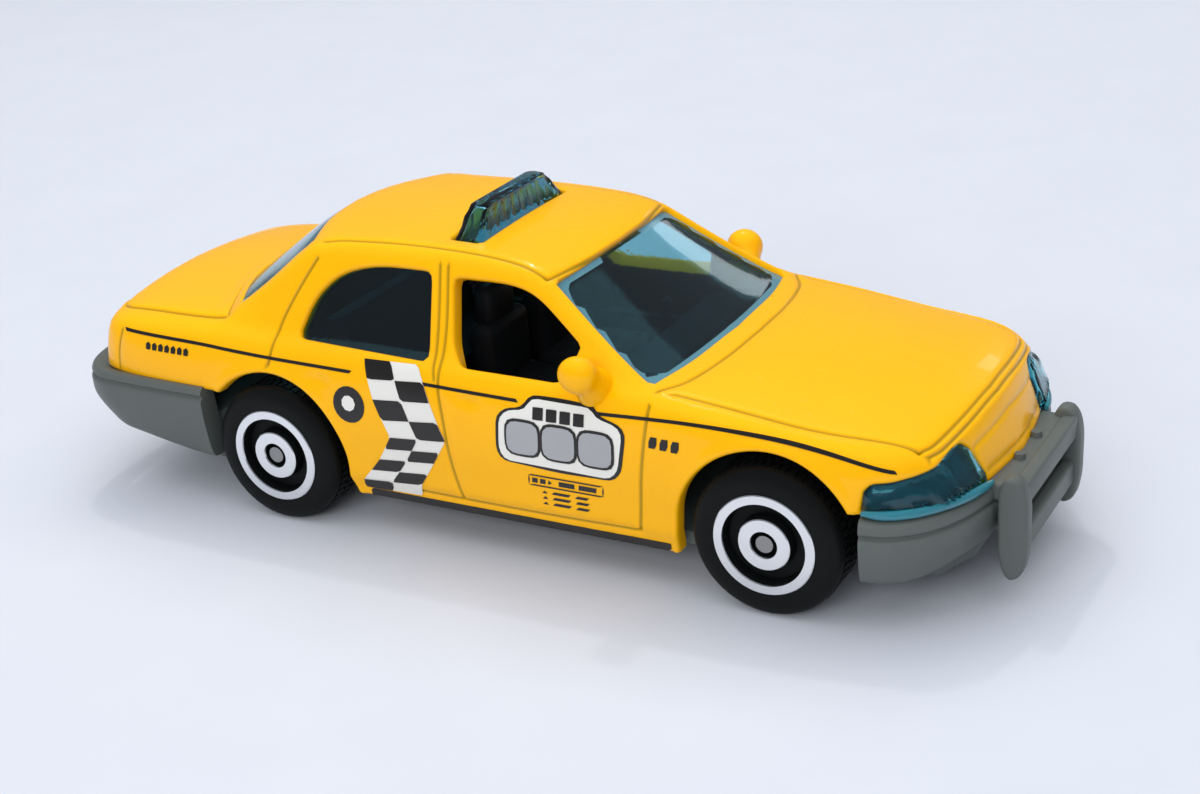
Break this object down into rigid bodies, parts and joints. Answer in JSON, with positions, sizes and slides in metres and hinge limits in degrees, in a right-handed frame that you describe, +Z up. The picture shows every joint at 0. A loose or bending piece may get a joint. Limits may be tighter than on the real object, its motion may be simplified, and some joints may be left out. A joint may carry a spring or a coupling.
{
  "type": "diecast collector car",
  "caption": "Small diecast saloon cab with a zinc body, tinted glazing, plastic bumpers and push bar, fitted interior, and free-rolling wheels on nail axles.",
  "frame": {"origin": "on the surface that the car stands on, under the middle of its length and width", "axes": "+X towards the nose, +Y to the car's left, +Z up"},
  "size_m": [0.078, 0.0306, 0.0242],
  "materials": {
    "body_paint": "thick glossy warm yellow enamel over a zinc casting, printed with black stripes and check marks",
    "teal_glazing": "clear plastic tinted dark blue-green, moulded and polished",
    "grey_plastic": "mid grey moulded plastic, satin",
    "black_interior": "black moulded plastic, satin",
    "steel": "plain steel nail and rivet heads",
    "tyre": "black moulded wheel with a blocked tread",
    "chrome_foil": "bright hot-stamped chrome foil"
  },
  "bodies": {
    "root": {"body_casting": "body_paint", "windscreen": "teal_glazing", "rear_window": "teal_glazing", "left_rear_side_window": "teal_glazing", "right_rear_side_window": "teal_glazing", "roof_sign": "teal_glazing", "left_headlamp": "teal_glazing", "right_headlamp": "teal_glazing", "front_bumper": "grey_plastic", "rear_bumper": "grey_plastic", "push_bar": "grey_plastic", "base_plate": "grey_plastic", "front_rivet": "steel", "rear_rivet": "steel", "interior_tub": "black_interior", "left_front_seat": "black_interior", "right_front_seat": "black_interior", "rear_bench": "black_interior", "dashboard": "black_interior", "steering_wheel": "black_interior"},
    "front_axle_body": {"front_axle": "steel"},
    "rear_axle_body": {"rear_axle": "steel"},
    "front_left_wheel_body": {"front_left_wheel": "tyre", "front_left_outer_ring": "chrome_foil", "front_left_inner_ring": "chrome_foil"},
    "front_right_wheel_body": {"front_right_wheel": "tyre", "front_right_outer_ring": "chrome_foil", "front_right_inner_ring": "chrome_foil"},
    "rear_left_wheel_body": {"rear_left_wheel": "tyre", "rear_left_outer_ring": "chrome_foil", "rear_left_inner_ring": "chrome_foil"},
    "rear_right_wheel_body": {"rear_right_wheel": "tyre", "rear_right_outer_ring": "chrome_foil", "rear_right_inner_ring": "chrome_foil"}
  },
  "joints": [
    {"name": "front_axle_turn", "type": "hinge", "parent": "root", "child": "front_axle_body", "pos_m": [0.02305, 0, 0.0056], "axis": [0, 1, 0], "continuous": true},
    {"name": "rear_axle_turn", "type": "hinge", "parent": "root", "child": "rear_axle_body", "pos_m": [-0.01815, 0, 0.0056], "axis": [0, 1, 0], "continuous": true},
    {"name": "front_left_wheel_spin", "type": "hinge", "parent": "front_axle_body", "child": "front_left_wheel_body", "pos_m": [0.02305, 0.0122, 0.0056], "axis": [0, 1, 0], "continuous": true},
    {"name": "front_right_wheel_spin", "type": "hinge", "parent": "front_axle_body", "child": "front_right_wheel_body", "pos_m": [0.02305, -0.0122, 0.0056], "axis": [0, 1, 0], "continuous": true},
    {"name": "rear_left_wheel_spin", "type": "hinge", "parent": "rear_axle_body", "child": "rear_left_wheel_body", "pos_m": [-0.01815, 0.0122, 0.0056], "axis": [0, 1, 0], "continuous": true},
    {"name": "rear_right_wheel_spin", "type": "hinge", "parent": "rear_axle_body", "child": "rear_right_wheel_body", "pos_m": [-0.01815, -0.0122, 0.0056], "axis": [0, 1, 0], "continuous": true}
  ]
}
